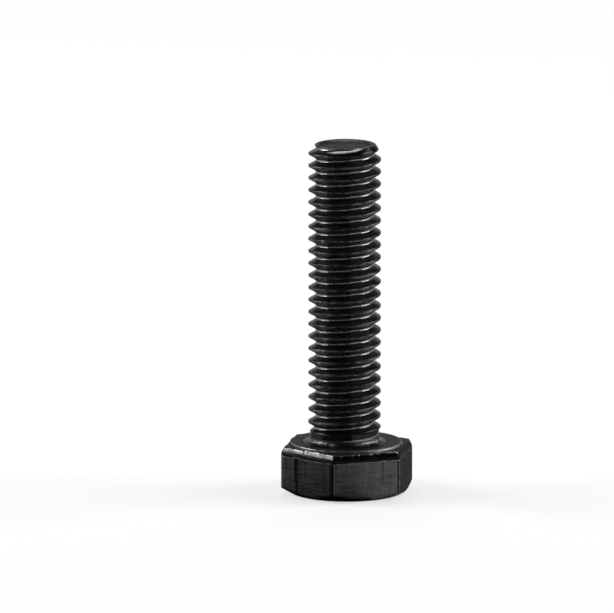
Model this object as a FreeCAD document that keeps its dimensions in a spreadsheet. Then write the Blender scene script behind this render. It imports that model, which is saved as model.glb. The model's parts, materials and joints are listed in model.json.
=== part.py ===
import FreeCAD, Part
import math
import os

import Sketcher
from FreeCAD import Vector

# A fully threaded hexagon head bolt, M6 x 1, one piece of blackened steel.
# The steel is cold headed, the hexagon is trimmed, and the thread is rolled up to the head.
# Frame: the origin is on the bolt's axis, in the plane of the bearing face under the head.
# +Z runs along the shank to its tip, the hexagon's corners lie along X, and two flats face +Y and -Y.

NODE = "hex_bolt"

# Every size that can be set by itself, in millimetres and degrees.
SIZES = {
    # head
    "across_flats": 9.8,
    "head_height": 4.15,
    "corner_radius": 0.35,
    "top_circle_inset": 0.25,
    "top_chamfer_angle": 30.0,
    "washer_face_inset": 0.35,
    "washer_face_height": 0.22,
    "bevel_inset": 0.2,
    "bevel_drop": 0.62,
    # shank
    "shank_length": 24.4,
    "neck_undercut": 0.16,
    "neck_length": 1.0,
    "neck_shoulder_angle": 45.0,
    "underhead_radius": 0.35,
    "tip_step": 0.45,
    "tip_angle": 30.0,
    "rim_width": 0.34,
    "dish_depth": 0.16,
    # thread
    "nominal_diameter": 6.0,
    "crest_allowance": 0.12,
    "flank_allowance": 0.08,
    "pitch": 1.0,
    "flank_angle": 60.0,
    "root_radius_per_pitch": 0.1443,
    "thread_lead_in": 0.698,
    "runout_turns": 0.75,
    "runout_clearance": 0.05,
    # room that a cutting profile has outside the steel
    "cutter_margin": 0.08,
}

# The basic pitch line of a metric thread lies this many pitches inside the nominal diameter.
PITCH_LINE_DEPTH = 0.6495
SHANK_ARCS = 8
HEX_SIDES = 6
VOLUME_MARGIN = 0.01


def fill_sheet(document):
    """Write each size into a cell of its own, with the size's name as the cell's alias."""
    sheet = document.addObject("Spreadsheet::Sheet", "Sizes")
    for row, (name, value) in enumerate(SIZES.items(), start=1):
        sheet.set(f"A{row}", name)
        sheet.set(f"B{row}", str(value))
        sheet.setAlias(f"B{row}", name)
    document.recompute()
    return sheet


def size(name):
    return f"Sizes.{name}"


def across_flats_half():
    return f"({size('across_flats')} / 2)"


def crest_radius():
    """Half the major diameter, which is the nominal one less its allowance."""
    return f"({size('nominal_diameter')} - {size('crest_allowance')}) / 2"


def neck_radius():
    return f"({crest_radius()} - {size('neck_undercut')})"


def tip_radius():
    return f"({crest_radius()} - {size('tip_step')})"


def flank_apex():
    """The radius at which the groove's two flanks would meet."""
    depth = f"({PITCH_LINE_DEPTH} * {size('pitch')} + {size('flank_allowance')})"
    pitch_line = f"({size('nominal_diameter')} - {depth}) / 2"
    return f"({pitch_line} - {size('pitch')} / 4 / tan({size('flank_angle')} * 0.5 deg))"


def root_arc_radius():
    return f"({size('root_radius_per_pitch')} * {size('pitch')})"


def root_arc_centre():
    return f"({flank_apex()} + {root_arc_radius()} / sin({size('flank_angle')} * 0.5 deg))"


def first_root():
    """The height of the groove's middle where the run-out takes over from the thread."""
    return f"({size('neck_length')} + {size('thread_lead_in')})"


def origin_plane(body, role):
    for feature in body.Origin.OriginFeatures:
        if feature.Role == role:
            return feature
    raise ValueError(f"no {role} in the body's origin")


def new_sketch(body, name, role, height=None):
    """A sketch on one of the body's origin planes, lifted by the expression height if there is one."""
    sketch = body.newObject("Sketcher::SketchObject", name)
    sketch.AttachmentSupport = [(origin_plane(body, role), "")]
    sketch.MapMode = "FlatFace"
    if height:
        sketch.setExpression(".AttachmentOffset.Base.z", height)
    return sketch


def evaluate(sketch, expression):
    value = sketch.evalExpression(expression)
    return float(getattr(value, "Value", value))


def hold(sketch, kind, geometry, end, expression):
    """Bind one coordinate of a line's or arc's end, DistanceX or DistanceY, to an expression."""
    start = evaluate(sketch, expression)
    index = sketch.addConstraint(Sketcher.Constraint(kind, -1, 1, geometry, end, start))
    sketch.setExpression(f"Constraints[{index}]", expression)


def place(sketch, geometry, end, x, y):
    hold(sketch, "DistanceX", geometry, end, x)
    hold(sketch, "DistanceY", geometry, end, y)


def outline(sketch, corners):
    """A closed outline of straight lines through the corners, each a pair of expressions."""
    points = [Vector(evaluate(sketch, x), evaluate(sketch, y), 0) for x, y in corners]
    first = sketch.GeometryCount
    for here, there in zip(points, points[1:] + points[:1]):
        sketch.addGeometry(Part.LineSegment(here, there), False)
    for number, (x, y) in enumerate(corners):
        line, before = first + number, first + (number - 1) % len(corners)
        sketch.addConstraint(Sketcher.Constraint("Coincident", before, 2, line, 1))
        place(sketch, line, 1, x, y)


def pad(body, name, sketch, length, reverse=False):
    feature = body.newObject("PartDesign::Pad", name)
    feature.Profile = sketch
    feature.setExpression("Length", length)
    feature.Reversed = reverse
    feature.Refine = False
    return feature


def turn_away(body, name, sketch):
    """A cut that is turned about the bolt's axis."""
    feature = body.newObject("PartDesign::Groove", name)
    feature.Profile = sketch
    feature.ReferenceAxis = (sketch, ["V_Axis"])
    feature.Angle = 360
    feature.Refine = False
    return feature


def rounding(body, name, base, radius, chosen):
    """A fillet on the edges of the base that the test picks."""
    body.Document.recompute()
    edges = [f"Edge{n}" for n, edge in enumerate(base.Shape.Edges, start=1) if chosen(edge)]
    feature = body.newObject("PartDesign::Fillet", name)
    feature.Base = (base, edges)
    feature.setExpression("Radius", radius)
    feature.Refine = False
    return feature


def is_upright(edge):
    ends = [vertex.Point for vertex in edge.Vertexes]
    straight = isinstance(edge.Curve, Part.Line)
    return straight and abs((ends[1] - ends[0]).normalize().z) > 0.999


def on_circle(edge, radius, height):
    """Is the edge a circle or arc of this radius about the bolt's axis, at this height?"""
    if not isinstance(edge.Curve, Part.Circle):
        return False
    centre = edge.Curve.Center
    near = VOLUME_MARGIN
    return (
        abs(edge.Curve.Radius - radius) < near
        and abs(centre.z - height) < near
        and math.hypot(centre.x, centre.y) < near
    )


def add_hexagon(body):
    """The hexagon, trimmed from the round blank, with its upright corners a little rounded."""
    sketch = new_sketch(body, "HexagonOutline", "XY_Plane", f"-{size('washer_face_height')}")
    flat = evaluate(sketch, across_flats_half())
    corner = flat / math.cos(math.pi / HEX_SIDES)
    turns = [2 * math.pi * number / HEX_SIDES for number in range(HEX_SIDES)]
    points = [Vector(corner * math.cos(a), corner * math.sin(a), 0) for a in turns]
    for here, there in zip(points, points[1:] + points[:1]):
        sketch.addGeometry(Part.LineSegment(here, there), False)
    circle = sketch.addGeometry(Part.Circle(Vector(0, 0, 0), Vector(0, 0, 1), flat), True)
    sketch.addConstraint(Sketcher.Constraint("Coincident", circle, 3, -1, 1))
    for side in range(HEX_SIDES):
        sketch.addConstraint(Sketcher.Constraint("Coincident", side - 1 if side else 5, 2, side, 1))
        sketch.addConstraint(Sketcher.Constraint("Tangent", side, circle))
        if side:
            sketch.addConstraint(Sketcher.Constraint("Equal", 0, side))
    sketch.addConstraint(Sketcher.Constraint("PointOnObject", 0, 1, -1))
    radius = sketch.addConstraint(Sketcher.Constraint("Radius", circle, flat))
    sketch.setExpression(f"Constraints[{radius}]", across_flats_half())
    height = f"{size('head_height')} - {size('washer_face_height')}"
    hexagon = pad(body, "Hexagon", sketch, height, reverse=True)
    return rounding(body, "HexagonCorners", hexagon, size("corner_radius"), is_upright)


def add_bearing_bevel(body):
    """The steep bevel along the bearing side of each flat: one cut, repeated round the head."""
    sketch = new_sketch(body, "BevelOutline", "YZ_Plane")
    flat = across_flats_half()
    ledge = f"-{size('washer_face_height')}"
    reach = f"{size('cutter_margin')}"
    run = f"{size('bevel_inset')} * {reach} / {size('bevel_drop')}"
    foot = f"{ledge} - {size('bevel_drop')}"
    outline(
        sketch,
        [
            (f"{flat} - {size('bevel_inset')} - {run}", f"{ledge} + {reach}"),
            (flat, foot),
            (f"{flat} + {reach}", foot),
            (f"{flat} + {reach}", f"{ledge} + {reach}"),
        ],
    )
    cut = body.newObject("PartDesign::Pocket", "FlatBevel")
    cut.Profile = sketch
    cut.SideType = "Symmetric"
    cut.setExpression("Length", f"2 * {size('across_flats')}")
    cut.Refine = False
    ring = body.newObject("PartDesign::PolarPattern", "BearingBevel")
    ring.Originals = [cut]
    ring.Axis = (origin_plane(body, "Z_Axis"), [""])
    ring.Angle = 360
    ring.Occurrences = HEX_SIDES
    ring.Refine = False
    body.Tip = ring
    return ring


def add_top_chamfer(body):
    """The cone turned on the head's outer face, which leaves a round flat inside the corners."""
    sketch = new_sketch(body, "TopChamferOutline", "XZ_Plane")
    top = f"-{size('head_height')}"
    inner = f"({across_flats_half()} - {size('top_circle_inset')})"
    outer = size("across_flats")
    rise = f"({outer} - {inner}) * tan({size('top_chamfer_angle')} * 1 deg)"
    outline(
        sketch,
        [(inner, top), (outer, f"{top} + {rise}"), (outer, f"{top} - 1"), (inner, f"{top} - 1")],
    )
    return turn_away(body, "TopChamfer", sketch)


def add_washer_face(body):
    """The low round face under the head that bears on the work."""
    sketch = new_sketch(body, "WasherFaceOutline", "XY_Plane")
    expression = f"{across_flats_half()} - {size('washer_face_inset')}"
    radius = evaluate(sketch, expression)
    sketch.addGeometry(Part.Circle(Vector(0, 0, 0), Vector(0, 0, 1), radius), False)
    sketch.addConstraint(Sketcher.Constraint("Coincident", 0, 3, -1, 1))
    index = sketch.addConstraint(Sketcher.Constraint("Radius", 0, radius))
    sketch.setExpression(f"Constraints[{index}]", expression)
    return pad(body, "WasherFace", sketch, size("washer_face_height"), reverse=True)


def add_shank(body):
    """The shank at the thread's major diameter. Its circle is drawn as equal arcs, so that the
    narrow crest of the thread comes out as short faces, each on its own part of a turn."""
    sketch = new_sketch(body, "ShankOutline", "XY_Plane")
    radius = evaluate(sketch, crest_radius())
    circle = Part.Circle(Vector(0, 0, 0), Vector(0, 0, 1), radius)
    step = 360 / SHANK_ARCS
    last = SHANK_ARCS - 1
    turns = [(number + 0.5) * step for number in range(SHANK_ARCS)]
    for turn in turns:
        arc = Part.ArcOfCircle(circle, math.radians(turn), math.radians(turn + step))
        sketch.addGeometry(arc, False)
    for number, turn in enumerate(turns):
        before = (number - 1) % SHANK_ARCS
        sketch.addConstraint(Sketcher.Constraint("Coincident", before, 2, number, 1))
        if number < last:
            sketch.addConstraint(Sketcher.Constraint("Coincident", number, 3, -1, 1))
        hold(sketch, "DistanceY", number, 1, f"{crest_radius()} * sin({turn} deg)")
    for number in (0, last):
        index = sketch.addConstraint(Sketcher.Constraint("Radius", number, radius))
        sketch.setExpression(f"Constraints[{index}]", crest_radius())
    return pad(body, "Shank", sketch, size("shank_length"))


def add_neck(body):
    """The short plain neck between the thread and the head, which runs into the bearing face
    in a small radius."""
    sketch = new_sketch(body, "NeckOutline", "XZ_Plane")
    inner = neck_radius()
    outer = f"({crest_radius()} + {size('cutter_margin')})"
    shoulder = f"({outer} - {inner}) / tan({size('neck_shoulder_angle')} * 1 deg)"
    outline(
        sketch,
        [
            (inner, "0"),
            (outer, "0"),
            (outer, f"{size('neck_length')} + {shoulder}"),
            (inner, size("neck_length")),
        ],
    )
    neck = turn_away(body, "Neck", sketch)
    radius = evaluate(sketch, neck_radius())
    return rounding(
        body, "UnderheadRadius", neck, size("underhead_radius"), lambda edge: on_circle(edge, radius, 0)
    )


def add_tip(body):
    """The blunt cone at the tip and the shallow dish that rolling leaves in the end face."""
    top = size("shank_length")
    sketch = new_sketch(body, "TipConeOutline", "XZ_Plane")
    inner = tip_radius()
    outer = f"({crest_radius()} + {size('cutter_margin')})"
    drop = f"({outer} - {inner}) / tan({size('tip_angle')} * 1 deg)"
    outline(
        sketch,
        [(inner, top), (outer, f"{top} - {drop}"), (outer, f"{top} + 1"), (inner, f"{top} + 1")],
    )
    turn_away(body, "TipCone", sketch)

    dish = new_sketch(body, "DishOutline", "XZ_Plane")
    bottom = f"{top} - {size('dish_depth')}"
    edge = f"({tip_radius()} - {size('rim_width')})"
    outline(dish, [("0", bottom), (f"{edge} - {size('dish_depth')}", bottom), (edge, top), ("0", top)])
    return turn_away(body, "TipDish", dish)


def thread_outline(body, name):
    """The groove of the thread, seen in a plane through the axis: two flanks and a round root.
    The flanks would meet at the apex; the root's arc is tangent to both."""
    half = f"{size('flank_angle')} * 0.5 deg"
    mid = first_root()
    radius = root_arc_radius()
    centre = root_arc_centre()
    tangent = (f"{centre} - {radius} * sin({half})", f"{radius} * cos({half})")
    outer = f"({crest_radius()} + {size('cutter_margin')})"
    mouth = f"({outer} - {flank_apex()}) * tan({half})"
    sketch = new_sketch(body, name, "XZ_Plane")
    upper = (tangent[0], f"{mid} + {tangent[1]}")
    lower = (tangent[0], f"{mid} - {tangent[1]}")
    ends = [upper, (outer, f"{mid} + {mouth}"), (outer, f"{mid} - {mouth}"), lower]
    points = [Vector(evaluate(sketch, x), evaluate(sketch, y), 0) for x, y in ends]
    for here, there in zip(points, points[1:]):
        sketch.addGeometry(Part.LineSegment(here, there), False)
    root = Vector(evaluate(sketch, f"{centre} - {radius}"), evaluate(sketch, mid), 0)
    sketch.addGeometry(Part.Arc(points[3], root, points[0]), False)
    for line in (1, 2):
        sketch.addConstraint(Sketcher.Constraint("Coincident", line - 1, 2, line, 1))
    for line, end, (x, y) in ((0, 1, upper), (1, 1, ends[1]), (2, 1, ends[2]), (2, 2, lower)):
        place(sketch, line, end, x, y)
    arc_ends = [sketch.getPoint(3, 1), sketch.getPoint(3, 2)]
    starts_high = arc_ends[0].y > arc_ends[1].y
    sketch.addConstraint(Sketcher.Constraint("Coincident", 3, 1 if starts_high else 2, 0, 1))
    sketch.addConstraint(Sketcher.Constraint("Coincident", 3, 2 if starts_high else 1, 2, 2))
    hold(sketch, "DistanceX", 3, 3, centre)
    return sketch


def add_thread(body):
    """The rolled thread: one right-hand groove from the run-out up through the tip, and the
    run-out itself, which goes on down round the shank while it climbs out of the steel."""
    sketch = thread_outline(body, "ThreadOutline")
    groove = body.newObject("PartDesign::SubtractiveHelix", "Thread")
    groove.Profile = sketch
    groove.ReferenceAxis = (sketch, ["V_Axis"])
    groove.Mode = "pitch-height-angle"
    groove.setExpression("Pitch", size("pitch"))
    groove.setExpression("Height", f"{size('shank_length')} - {first_root()} + {size('pitch')}")
    groove.Refine = False

    sketch = thread_outline(body, "RunoutOutline")
    runout = body.newObject("PartDesign::SubtractiveHelix", "ThreadRunout")
    runout.Profile = sketch
    runout.ReferenceAxis = (sketch, ["V_Axis"])
    runout.Mode = "pitch-height-angle"
    runout.Reversed = True
    runout.setExpression("Pitch", size("pitch"))
    runout.setExpression("Height", f"{size('runout_turns')} * {size('pitch')}")
    root = f"({root_arc_centre()} - {root_arc_radius()})"
    lift = f"({crest_radius()} - {root} + {size('runout_clearance')})"
    runout.setExpression("Angle", f"atan({lift} / ({size('runout_turns')} * {size('pitch')}))")
    runout.Refine = False
    return runout


def check(document, body):
    """Stop unless every object computed and the bolt is one valid solid of about the right size."""
    for item in document.Objects:
        if {"Invalid", "Error"} & set(item.State):
            raise RuntimeError(f"{item.Name} failed: {item.State}")
    shape = body.Shape
    if shape.isNull() or not shape.isValid() or len(shape.Solids) != 1:
        raise RuntimeError(f"{body.Label} is not one valid solid")
    return shape


def build():
    document = FreeCAD.newDocument("HexBolt")
    fill_sheet(document)
    body = document.addObject("PartDesign::Body", NODE)
    body.Label = NODE
    body.Placement = FreeCAD.Placement()
    steps = [
        (add_hexagon, 0),
        (add_bearing_bevel, -1),
        (add_top_chamfer, -1),
        (add_washer_face, 1),
        (add_shank, 1),
        (add_neck, -1),
        (add_tip, -1),
        (add_thread, -1),
    ]
    before = 0.0
    for step, direction in steps:
        feature = step(body)
        document.recompute()
        volume = feature.Shape.Volume
        if direction * (volume - before) < 0 or abs(volume - before) < VOLUME_MARGIN:
            raise RuntimeError(f"{feature.Label} changed the volume from {before} to {volume}")
        print(f"{feature.Label}: {volume:.2f} mm3")
        before = volume
    return document, body


document, body = build()
solid = check(document, body)
os.makedirs("parts", exist_ok=True)
solid.exportStep(os.path.join("parts", f"{NODE}.step"))
box = solid.BoundBox
print(f"{NODE}: {box.XLength:.2f} x {box.YLength:.2f} x {box.ZLength:.2f} mm, {solid.Volume:.1f} mm3")
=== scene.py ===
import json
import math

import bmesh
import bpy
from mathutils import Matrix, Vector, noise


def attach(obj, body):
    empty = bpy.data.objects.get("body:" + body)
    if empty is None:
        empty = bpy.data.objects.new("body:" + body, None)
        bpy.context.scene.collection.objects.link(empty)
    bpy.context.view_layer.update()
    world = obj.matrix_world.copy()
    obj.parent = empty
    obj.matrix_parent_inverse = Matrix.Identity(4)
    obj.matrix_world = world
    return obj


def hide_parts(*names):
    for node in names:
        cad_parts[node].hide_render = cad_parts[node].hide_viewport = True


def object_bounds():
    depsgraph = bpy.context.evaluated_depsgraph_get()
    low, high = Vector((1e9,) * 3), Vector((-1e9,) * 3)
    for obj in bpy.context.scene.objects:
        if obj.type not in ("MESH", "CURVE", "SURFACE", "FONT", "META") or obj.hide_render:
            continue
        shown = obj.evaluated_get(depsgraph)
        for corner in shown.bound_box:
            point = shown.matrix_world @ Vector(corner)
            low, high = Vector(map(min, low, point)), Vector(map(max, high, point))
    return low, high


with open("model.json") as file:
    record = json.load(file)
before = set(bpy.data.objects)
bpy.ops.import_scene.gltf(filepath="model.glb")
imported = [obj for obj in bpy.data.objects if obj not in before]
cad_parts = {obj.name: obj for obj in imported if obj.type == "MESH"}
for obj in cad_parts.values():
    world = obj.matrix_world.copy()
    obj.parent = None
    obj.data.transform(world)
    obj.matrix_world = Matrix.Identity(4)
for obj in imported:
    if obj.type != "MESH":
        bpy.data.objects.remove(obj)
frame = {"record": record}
CAD_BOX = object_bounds()

# %% [markdown]
# # A hex bolt of blackened steel
# The real object is one piece of steel. A machine upsets one end of a wire into a head, trims the
# head to a hexagon and rolls a thread into the rest. Then the bolt is blackened in a hot salt bath
# and oiled. This lesson builds that one piece as one closed mesh, gives it four finishes, one for
# each way in which its surface was made, and lights it on a pale floor.

MM = 0.001
print("CAD box, metres:", [[round(c, 5) for c in corner] for corner in CAD_BOX])

# %% [markdown]
# ## Sizes
# The frame already knows the bolt's real sizes: its box gives the length and the head, and the
# record's mounts give the thread's radius. Only the small things that a box can't tell are written
# here, such as the pitch. Everything is in millimetres until a vertex is made.

# %% Sizes from the frame
LOW, HIGH = CAD_BOX
MOUNTS = {mount["name"]: mount for mount in frame["record"]["mounts"]}
HEAD_HEIGHT = -LOW[2] / MM
SHANK_LENGTH = HIGH[2] / MM
FLAT_HALF = HIGH[1] / MM
CREST_RADIUS = MOUNTS["threaded_shank"]["dims"]["r_mm"]
print(f"head {HEAD_HEIGHT:.2f} mm, shank {SHANK_LENGTH:.2f} mm, half the flats {FLAT_HALF:.2f} mm")

# %% Sizes of the small features
# The thread's groove has two flanks that would meet at the apex, and a round root. At the angle of
# X, one of its roots is at the height ROOT_AT_X.
PITCH = 1.0
NOMINAL_RADIUS = 3.0
PITCH_LINE_DEPTH = 0.36475
FLANK_SLOPE = math.tan(math.radians(30))
ROOT_ARC = 0.1443 * PITCH
PITCH_LINE = NOMINAL_RADIUS - PITCH_LINE_DEPTH
APEX = PITCH_LINE - PITCH / 4 / FLANK_SLOPE
ROOT_CENTRE = APEX + 2 * ROOT_ARC
ROOT_AT_X = 0.698

# The run-out is counted in turns from that root. Towards the head the groove starts to lift at
# RUNOUT_TOP, and RUNOUT_TURNS lower it is clear of the steel.
RUNOUT_TOP = 0.62
RUNOUT_TURNS = 0.75
RUNOUT_CLEARANCE = 0.05
RUNOUT_LIFT = CREST_RADIUS - (ROOT_CENTRE - ROOT_ARC) + RUNOUT_CLEARANCE

# The ends of the shank.
NECK_UNDERCUT = 0.14
NECK_RADIUS = CREST_RADIUS - NECK_UNDERCUT
NECK_LENGTH = 1.0
UNDERHEAD = 0.48
TIP_STEP = 0.45
TIP_RADIUS = CREST_RADIUS - TIP_STEP
TIP_SLOPE = math.tan(math.radians(30))
RIM_WIDTH = 0.34
DISH_RADIUS = TIP_RADIUS - RIM_WIDTH
DISH_DEPTH = 0.16

# The head. An inset is measured in from the flats.
WASHER_INSET = 0.35
WASHER_RADIUS = FLAT_HALF - WASHER_INSET
WASHER_HEIGHT = 0.22
BEVEL_INSET = 0.2
BEVEL_DROP = 0.66
TOP_CIRCLE_INSET = 0.36
TOP_CIRCLE = FLAT_HALF - TOP_CIRCLE_INSET
CORNER_ROUND = 0.32
EDGE_ROUND = 0.06
print(f"root at {ROOT_CENTRE - ROOT_ARC:.3f} mm, neck {NECK_RADIUS:.2f} mm, end {TIP_RADIUS:.2f} mm")

# %% [markdown]
# ## Helpers for shapes
# Rolled and trimmed edges are never perfect, so most shapes below are pushed about a little by
# smooth noise. The noise depends only on the place, so every run gives the same bolt.

# %% Noise and soft corners
def ripple(angle, height, size_mm, seed, reach=4.0):
    """Smooth noise from -1 to 1 round the bolt, with bumps of about size_mm at radius reach."""
    scale = 1 / size_mm
    place = Vector((math.cos(angle) * reach, math.sin(angle) * reach, height)) * scale
    return noise.noise(place + Vector((17.3 * seed, 5.1 * seed, 11.7 * seed)))


def soft_min(a, b, width):
    """The smaller of two radii, with the corner between them rounded over the width."""
    blend = max(width - abs(a - b), 0.0) / width
    return min(a, b) - blend * blend * width / 4


def smooth(low, high, value):
    """An even step from 0 at low to 1 at high."""
    t = min(max((value - low) / (high - low), 0.0), 1.0)
    return t * t * (3 - 2 * t)


print("noise at the first place:", round(ripple(0, 0, 1.0, 1), 3))


# %% [markdown]
# ## The thread's shape
# A rolled thread is one groove that climbs one pitch in each turn. Seen in a plane through the
# axis, the groove has two flanks at 60 degrees and a small round root. For each angle and height,
# one function gives the steel's radius: it takes the plain outline of the shank and cuts it with
# the nearest turns of the groove. Near the head the groove climbs out of the steel, as it does
# where the rolling die ends, and a short neck is left.

# %% Radius of the shank at any angle and height
TIP_SWELL = 0.12
TIP_SWELL_ANGLE = math.radians(225)
TIP_LEAN = 0.11
TIP_LEAN_ANGLE = math.radians(161)
SHOULDER_SOFTNESS = 0.05
CONE_SOFTNESS = 0.08
THREAD_SOFTNESS = 0.045


def groove_radius(off, lift):
    """The groove's surface at a distance off from its middle, raised by the lift."""
    off = abs(off)
    if off < ROOT_ARC * math.cos(math.radians(30)):
        return ROOT_CENTRE - math.sqrt(ROOT_ARC**2 - off**2) + lift
    return APEX + off / FLANK_SLOPE + lift


def plain_radius(height, swell):
    """The shank before threading: neck, shoulder, full diameter and the cone at the tip."""
    shoulder = NECK_RADIUS + max(height - NECK_LENGTH, 0.0)
    cone = TIP_RADIUS + (SHANK_LENGTH - height) * TIP_SLOPE + swell
    return soft_min(soft_min(CREST_RADIUS, shoulder, SHOULDER_SOFTNESS), cone, CONE_SOFTNESS)


def shank_radius(angle, height):
    """The steel's radius. The dies push the first crest out on one side of the tip's cone."""
    swell = TIP_SWELL * (1 + math.cos(angle - TIP_SWELL_ANGLE)) / 2
    lean = TIP_LEAN * smooth(0.0, 1.0, math.cos(angle - TIP_LEAN_ANGLE))
    at_end = smooth(SHANK_LENGTH - 0.3, SHANK_LENGTH - 0.05, height)
    swell += -(swell + lean) * at_end
    radius = plain_radius(height, swell)
    turn = (height - ROOT_AT_X) / PITCH - angle / (2 * math.pi)
    for root in (math.floor(turn), math.floor(turn) + 1):
        along = root + angle / (2 * math.pi)
        lift = max(RUNOUT_TOP - along, 0.0) * RUNOUT_LIFT / RUNOUT_TURNS
        off = (turn - root) * PITCH
        radius = soft_min(radius, groove_radius(off, lift), THREAD_SOFTNESS)
    return radius


FAR_ROOT = ROOT_AT_X + 9 * PITCH
print(f"root {shank_radius(0, FAR_ROOT):.3f} mm, crest {shank_radius(0, FAR_ROOT + PITCH / 2):.3f} mm")

# %% [markdown]
# ## The shank's grid
# A grid of flat rings would cut across the thread and leave stairs on its thin crest. So each row
# of this grid climbs one pitch in a turn, as the thread does, and there are rows exactly at the
# root, on the flanks and at the crest. Past the two ends the rows are pressed flat against the
# end, and the points that fall together there are merged.

# %% Rows and columns of the shank
SHANK_COLUMNS = 160
HALF_ROWS = (0.0, 0.06, 0.115, 0.19, 0.28, 0.365, 0.42, 0.46, 0.5)
PITCH_ROWS = HALF_ROWS[:-1] + tuple(1 - row for row in reversed(HALF_ROWS[1:]))
SHANK_LOW = UNDERHEAD
SHANK_HIGH = SHANK_LENGTH - 0.05


def shank_heights(turn):
    """The heights of all rows at this share of a turn, from the neck to the tip."""
    first = math.floor((SHANK_LOW - ROOT_AT_X) / PITCH) - 2
    last = math.ceil((SHANK_HIGH - ROOT_AT_X) / PITCH) + 1
    rows = []
    for pitch in range(first, last + 1):
        for row in PITCH_ROWS:
            height = ROOT_AT_X + (pitch + row + turn) * PITCH
            rows.append(min(max(height, SHANK_LOW), SHANK_HIGH))
    return rows


ROWS_PER_PITCH = len(PITCH_ROWS)
print(len(shank_heights(0)), "rows of", SHANK_COLUMNS)

# %% [markdown]
# ## The head's outline
# The hexagon is trimmed from a round blank, so its corners are left a little rounded. In polar form
# a flat is a straight line, and a corner is an arc whose centre lies on the corner's own direction.

# %% Radius of a rounded hexagon
def past_corner(angle):
    """Degrees past the nearest of the six corners, negative before it."""
    return (math.degrees(angle) + 30) % 60 - 30


def side_of(angle):
    """The number of the flat at this angle, counted from 0 to 5 starting at X."""
    return int(math.degrees(angle) // 60) % 6


def hexagon_radius(angle, flat, rounding):
    """The distance from the axis to a hexagon with corners along X and this half width."""
    gamma = math.radians(abs(past_corner(angle)))
    centre = (flat - rounding) / math.cos(math.radians(30))
    tangent = math.atan2(rounding / 2, centre + rounding * math.cos(math.radians(30)))
    if gamma < tangent:
        return centre * math.cos(gamma) + math.sqrt(rounding**2 - (centre * math.sin(gamma)) ** 2)
    return flat / math.cos(math.radians(30) - gamma)


across = 2 * hexagon_radius(0, FLAT_HALF, CORNER_ROUND)
print(f"across the rounded corners {across:.2f} mm")

# %% [markdown]
# ## Rings that are not circles
# The head goes on from the shank with three times as many columns, because its corners and edges
# are finer than the thread needs. Its columns crowd together at the six corners. Under the head the
# rings start as circles at the shank and end as hexagons at the edge, so each ring is a function of
# the angle that gives a radius and a height.

# %% Columns of the head
HEAD_COLUMNS = SHANK_COLUMNS * 3
CORNER_SPAN = math.radians(2.2)
CORNER_SHARE = 0.11


def head_angle(column, crowd):
    """The angle of a column: evenly spaced at crowd 0, and crowded at the corners at crowd 1."""
    even = 2 * math.pi * column / HEAD_COLUMNS
    side = math.pi / 3
    part = (even % side) / side
    mirrored = min(part, 1 - part)
    if mirrored < CORNER_SHARE:
        place = mirrored / CORNER_SHARE * CORNER_SPAN
    else:
        rest = (mirrored - CORNER_SHARE) / (0.5 - CORNER_SHARE)
        place = CORNER_SPAN + rest * (side / 2 - CORNER_SPAN)
    crowded = even - part * side + (place if part <= 0.5 else side - place)
    return even + (crowded - even) * crowd


print(HEAD_COLUMNS // 6, "columns on each flat")

# %% [markdown]
# ## Edges torn by the trimming die
# The die pushes the hexagon out of the blank from the bearing side. There it first bends the steel
# over and then tears it, so the edge of each flat has a steep bevel with a ragged rim, darkened
# below the rim as painted shade. The other side of the head ends in a clean cone. The trimmed
# hexagon is also not quite centred on the shank: here it sits 0.18 mm off.

# %% Off centre, and torn
OFF_CENTRE = 0.18
OFF_DIRECTION = math.radians(-19)
TEAR = 0.07
FOOT_STRAY = 0.09
RIM_TEETH = (0.6, 0.6, 0.6, 0.25, 0.8, 0.6)


def tear(angle):
    """How far the torn rim strays, larger along the flats than at the corners."""
    strength = 0.35 + 0.65 * smooth(2, 9, abs(past_corner(angle)))
    fine = ripple(angle, 0, 0.24, 3) * RIM_TEETH[side_of(angle)] + ripple(angle, 0, 0.9, 4) * 0.8
    return TEAR * strength * fine


def foot_stray(angle):
    """How far the bevel's foot strays up and down the flat."""
    return FOOT_STRAY * ripple(angle, 2, 0.8, 9)


print("the rim strays", round(tear(math.radians(30)), 3), "mm in the middle of the first flat")

# %% The washer face and the ledge round it
WASHER_FOOT = 0.07
BURR_HEIGHT = 0.045


def washer_ring(radius, height):
    """A circle on the washer face, uneven by a few thousandths of a millimetre."""
    return lambda angle: (radius, height + 0.006 * ripple(angle, radius, 0.8, 7, radius))


def ledge_ring(share):
    """Between the foot of the washer face and the rim of the bevel."""

    def ring(angle):
        inner = WASHER_RADIUS + WASHER_FOOT
        rim = hexagon_radius(angle, FLAT_HALF - BEVEL_INSET, CORNER_ROUND)
        outer = rim - EDGE_ROUND + tear(angle)
        burr = BURR_HEIGHT * smooth(0.55, 1.0, share) * (0.6 + ripple(angle, share, 0.5, 5))
        uneven = 0.01 * ripple(angle, share, 0.6, 6)
        return inner + (outer - inner) * share, -WASHER_HEIGHT + burr + uneven

    return ring


print("at the first corner the ledge ends at radius", round(ledge_ring(1.0)(0)[0], 3), "mm")

# %% The bevel and the flats
BEVEL_CURVE = 2.2
FOOT_STEP = 0.03


def bevel_ring(share):
    """Down the steep bevel: share 0 is its ragged rim and share 1 its foot on the flat."""

    def ring(angle):
        inset = BEVEL_INSET * (1 - share) ** BEVEL_CURVE
        top, foot = -WASHER_HEIGHT - EDGE_ROUND, -WASHER_HEIGHT - BEVEL_DROP
        radius = hexagon_radius(angle, FLAT_HALF - inset, CORNER_ROUND)
        rough = tear(angle) * (1 - share) + 0.025 * ripple(angle, share * 3, 0.3, 8) * (share < 0.95)
        return radius + rough, top + (foot - top) * share + foot_stray(angle) * share

    return ring


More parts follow.
